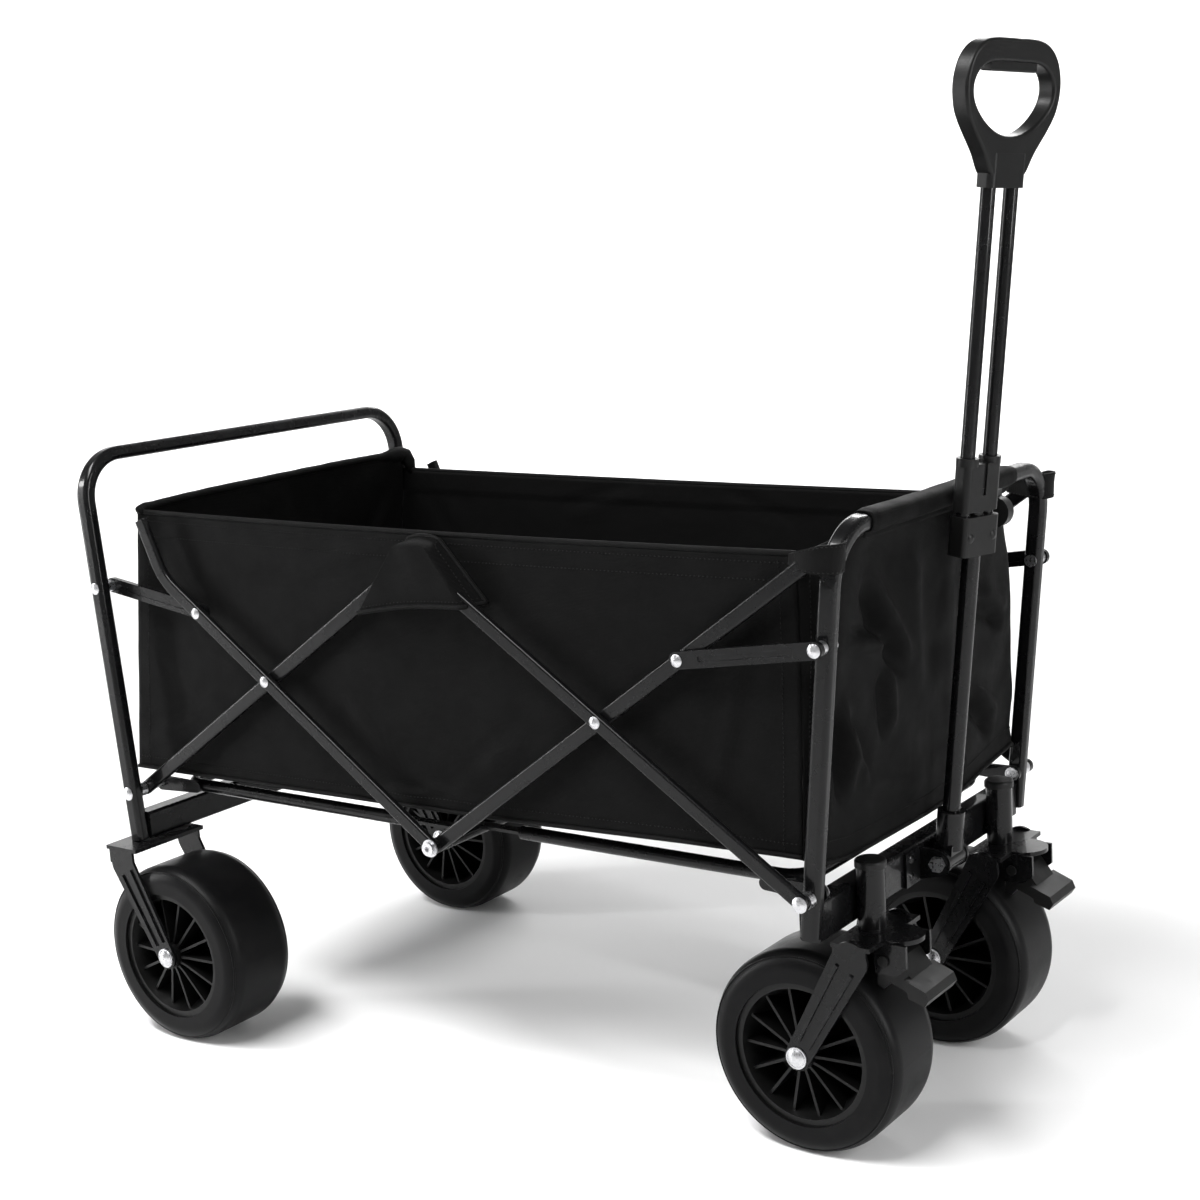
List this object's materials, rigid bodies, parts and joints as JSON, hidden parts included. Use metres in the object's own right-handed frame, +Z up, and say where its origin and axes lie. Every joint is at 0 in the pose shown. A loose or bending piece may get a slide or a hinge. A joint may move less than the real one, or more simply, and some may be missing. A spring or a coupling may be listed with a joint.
{
  "type": "folding camp wagon",
  "caption": "Folding camp wagon: fabric tub in a scissor-strut frame, wide smooth wheels, swivelling braked front casters and an extending pull handle with a D grip.",
  "frame": {"origin": "on the ground, under the middle of the open wagon's bounding box", "axes": "+X towards the handle, +Y to the far side, +Z up"},
  "size_m": [0.9492, 0.5358, 0.9441],
  "materials": {
    "frame_steel": "satin black powder coat",
    "bare_steel": "zinc-plated rivets and bolts",
    "black_plastic": "moulded, fine grain",
    "tyre": "smooth moulded",
    "cloth": "coated woven polyester",
    "board": "stiff sheet"
  },
  "bodies": {
    "rear_frame": {"rear_frame_tube": "frame_steel", "rear_cross_beam": "frame_steel", "rear_fork_near": "frame_steel", "rear_fork_far": "frame_steel", "rear_axle_bolts": "bare_steel", "rear_frame_bolts": "bare_steel", "tub_rear_panel": "cloth", "tub_side_near": "cloth", "tub_side_far": "cloth", "tub_floor_sheet": "cloth"},
    "rear_inner_struts": {"rear_inner_strut_near": "frame_steel", "rear_inner_strut_far": "frame_steel"},
    "rear_outer_struts": {"rear_outer_strut_near": "frame_steel", "rear_outer_strut_far": "frame_steel", "rear_cross_rivets": "bare_steel", "rear_link_rivets": "bare_steel", "hub_bolts": "bare_steel", "centre_cross_tube": "frame_steel"},
    "front_inner_struts": {"front_inner_strut_near": "frame_steel", "front_inner_strut_far": "frame_steel", "front_cross_rivets": "bare_steel"},
    "front_outer_struts": {"front_outer_strut_near": "frame_steel", "front_outer_strut_far": "frame_steel"},
    "rear_links": {"rear_end_links": "frame_steel"},
    "front_links": {"front_end_links": "frame_steel", "front_link_rivets": "bare_steel"},
    "rear_floor": {"rear_floor_frame": "frame_steel", "rear_floor_board": "board"},
    "front_floor": {"front_floor_frame": "frame_steel", "front_floor_board": "board"},
    "front_frame": {"front_frame_tube": "frame_steel", "front_cross_beam": "frame_steel", "swivel_posts": "frame_steel", "post_caps": "black_plastic", "handle_bracket": "frame_steel", "handle_hinge_bolt": "bare_steel", "handle_clip": "black_plastic", "front_frame_bolts": "bare_steel", "tub_front_panel": "cloth"},
    "handle_foot": {"handle_yoke": "frame_steel"},
    "handle_lower": {"handle_lower_tube": "frame_steel", "handle_coupler": "black_plastic"},
    "handle_upper": {"handle_slider": "black_plastic", "handle_upper_tubes": "frame_steel", "handle_grip": "black_plastic"},
    "release_bar": {"grip_trigger": "black_plastic"},
    "wheel_rear_near": {"tyre_rear_near": "tyre", "rim_rear_near": "black_plastic"},
    "wheel_rear_far": {"tyre_rear_far": "tyre", "rim_rear_far": "black_plastic"},
    "caster_near": {"caster_fork_near": "frame_steel", "front_axle_bolt_near": "bare_steel"},
    "wheel_front_near": {"tyre_front_near": "tyre", "rim_front_near": "black_plastic"},
    "brake_near": {"brake_pedal_near": "black_plastic"},
    "caster_far": {"caster_fork_far": "frame_steel", "front_axle_bolt_far": "bare_steel"},
    "wheel_front_far": {"tyre_front_far": "tyre", "rim_front_far": "black_plastic"},
    "brake_far": {"brake_pedal_far": "black_plastic"}
  },
  "joints": [
    {"name": "fold", "type": "hinge", "parent": "rear_frame", "child": "rear_inner_struts", "pos_m": [-0.4398, 0, 0.255], "axis": [0, -1, 0], "range_deg": [0, 43.5], "deforming": ["tub_side_near", "tub_side_far", "tub_floor_sheet"]},
    {"name": "rear_crossing", "type": "hinge", "parent": "rear_inner_struts", "child": "rear_outer_struts", "pos_m": [-0.2408, 0, 0.389], "axis": [0, -1, 0], "range_deg": [-87.5, 0.5]},
    {"name": "hub", "type": "hinge", "parent": "rear_outer_struts", "child": "front_inner_struts", "pos_m": [-0.0418, 0, 0.248], "axis": [0, -1, 0], "range_deg": [-0.5, 87.5]},
    {"name": "front_crossing", "type": "hinge", "parent": "front_inner_struts", "child": "front_outer_struts", "pos_m": [0.1572, 0, 0.389], "axis": [0, -1, 0], "range_deg": [-87.5, 0.5]},
    {"name": "front_pin", "type": "hinge", "parent": "front_outer_struts", "child": "front_frame", "pos_m": [0.3562, 0, 0.255], "axis": [0, -1, 0], "range_deg": [-0.5, 44]},
    {"name": "rear_link_pin", "type": "hinge", "parent": "rear_frame", "child": "rear_links", "pos_m": [-0.45637, 0, 0.47036], "axis": [0, -1, 0], "range_deg": [-0.5, 77.98]},
    {"name": "front_link_pin", "type": "hinge", "parent": "front_frame", "child": "front_links", "pos_m": [0.37728, 0, 0.46997], "axis": [0, -1, 0], "range_deg": [-75.8, 0.5]},
    {"name": "rear_floor_pin", "type": "hinge", "parent": "rear_frame", "child": "rear_floor", "pos_m": [-0.4398, 0, 0.255], "axis": [0, -1, 0], "range_deg": [-0.5, 75.97]},
    {"name": "front_floor_pin", "type": "hinge", "parent": "front_frame", "child": "front_floor", "pos_m": [0.3562, 0, 0.255], "axis": [0, -1, 0], "range_deg": [-75.97, 0.5]},
    {"name": "spin_rear_near", "type": "hinge", "parent": "rear_frame", "child": "wheel_rear_near", "pos_m": [-0.3818, -0.216, 0.093], "axis": [0, 1, 0], "continuous": true},
    {"name": "spin_rear_far", "type": "hinge", "parent": "rear_frame", "child": "wheel_rear_far", "pos_m": [-0.3818, 0.216, 0.093], "axis": [0, 1, 0], "continuous": true},
    {"name": "swivel_near", "type": "hinge", "parent": "front_frame", "child": "caster_near", "pos_m": [0.3702, -0.13, 0.207], "axis": [0, 0, 1], "continuous": true},
    {"name": "spin_front_near", "type": "hinge", "parent": "caster_near", "child": "wheel_front_near", "pos_m": [0.3172, -0.13, 0.093], "axis": [0, 1, 0], "continuous": true},
    {"name": "brake_near", "type": "hinge", "parent": "caster_near", "child": "brake_near", "pos_m": [0.3932, -0.13, 0.187], "axis": [0, 1, 0], "range_deg": [0, 9]},
    {"name": "swivel_far", "type": "hinge", "parent": "front_frame", "child": "caster_far", "pos_m": [0.3702, 0.13, 0.207], "axis": [0, 0, 1], "continuous": true},
    {"name": "spin_front_far", "type": "hinge", "parent": "caster_far", "child": "wheel_front_far", "pos_m": [0.3172, 0.13, 0.093], "axis": [0, 1, 0], "continuous": true},
    {"name": "brake_far", "type": "hinge", "parent": "caster_far", "child": "brake_far", "pos_m": [0.3932, 0.13, 0.187], "axis": [0, 1, 0], "range_deg": [0, 9]},
    {"name": "handle_fold", "type": "hinge", "parent": "front_frame", "child": "handle_foot", "pos_m": [0.3787, 0, 0.23], "axis": [0, 1, 0], "range_deg": [0, 85]},
    {"name": "handle_turn", "type": "hinge", "parent": "handle_foot", "child": "handle_lower", "pos_m": [0.3787, 0, 0.23], "axis": [0.1054, 0, 0.9944], "range_deg": [-4, 32]},
    {"name": "handle_slide", "type": "slide", "parent": "handle_lower", "child": "handle_upper", "axis": [0.1054, 0, 0.9944], "range_m": [-0.2, 0]},
    {"name": "release", "type": "slide", "parent": "handle_upper", "child": "release_bar", "axis": [0.1054, 0, 0.9944], "range_m": [0, 0.005], "stiffness_N_per_m": 400}
  ],
  "couplings": [
    {"joint": "rear_crossing", "follows": "fold", "ratio": -2},
    {"joint": "hub", "follows": "fold", "ratio": 2},
    {"joint": "front_crossing", "follows": "fold", "ratio": -2},
    {"joint": "front_pin", "follows": "fold", "ratio": 1},
    {"joint": "rear_link_pin", "follows": "fold", "ratio": 1.7811},
    {"joint": "front_link_pin", "follows": "fold", "ratio": -1.731},
    {"joint": "rear_floor_pin", "follows": "fold", "ratio": 1.735},
    {"joint": "front_floor_pin", "follows": "fold", "ratio": -1.735}
  ]
}
